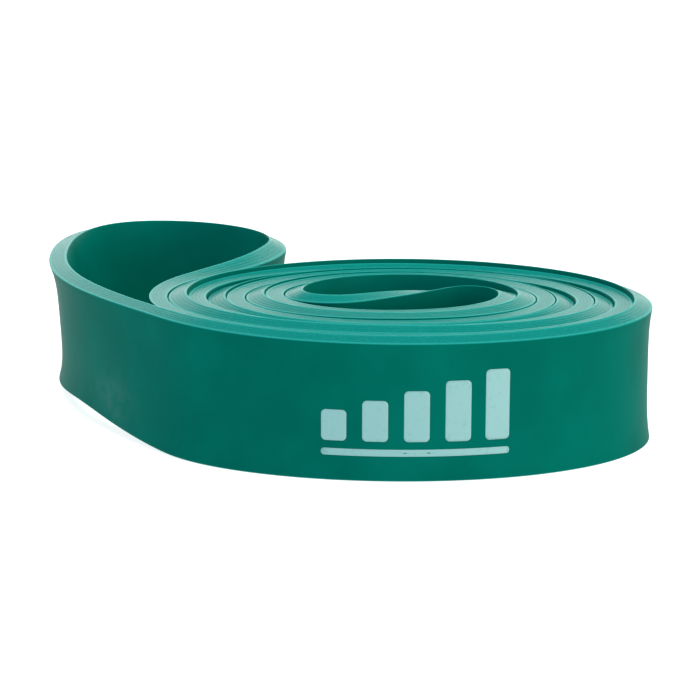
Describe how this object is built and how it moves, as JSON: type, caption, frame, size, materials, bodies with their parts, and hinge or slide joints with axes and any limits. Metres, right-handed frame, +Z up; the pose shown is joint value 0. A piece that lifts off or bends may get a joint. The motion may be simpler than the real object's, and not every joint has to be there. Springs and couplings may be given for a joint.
{
  "type": "resistance band",
  "caption": "Flat closed-loop latex resistance band, doubled and rolled up on its edge with a free loop standing out behind the roll.",
  "frame": {"origin": "middle of the roll, on the surface the band stands on", "axes": "+Z up across the band's width, -Y towards the printed front of the roll, +X to the right; the free loop stands out to -X and +Y"},
  "size_m": [0.1311, 0.1633, 0.0286],
  "materials": {
    "latex_green": "satin moulded latex, slightly glossy on the faces and dull on the cut edges",
    "print_ink": "thin pale sea-green ink film"
  },
  "bodies": {
    "roll": {"roll_ply_1": "latex_green", "roll_ply_2": "latex_green", "roll_ply_3": "latex_green", "roll_ply_4": "latex_green", "roll_ply_5": "latex_green", "print_bar_1": "print_ink", "print_bar_2": "print_ink", "print_bar_3": "print_ink", "print_bar_4": "print_ink", "print_bar_5": "print_ink", "print_rule": "print_ink"},
    "free_loop": {"loop_ply_1": "latex_green", "loop_ply_2": "latex_green", "loop_ply_3": "latex_green", "loop_ply_4": "latex_green", "loop_ply_5": "latex_green"}
  },
  "joints": [
    {"name": "loop_swing", "type": "hinge", "parent": "roll", "child": "free_loop", "pos_m": [-0.0479, -0.0268, 0], "axis": [0, 0, 1], "range_deg": [0, 20], "stiffness_Nm_per_rad": 0.015}
  ]
}
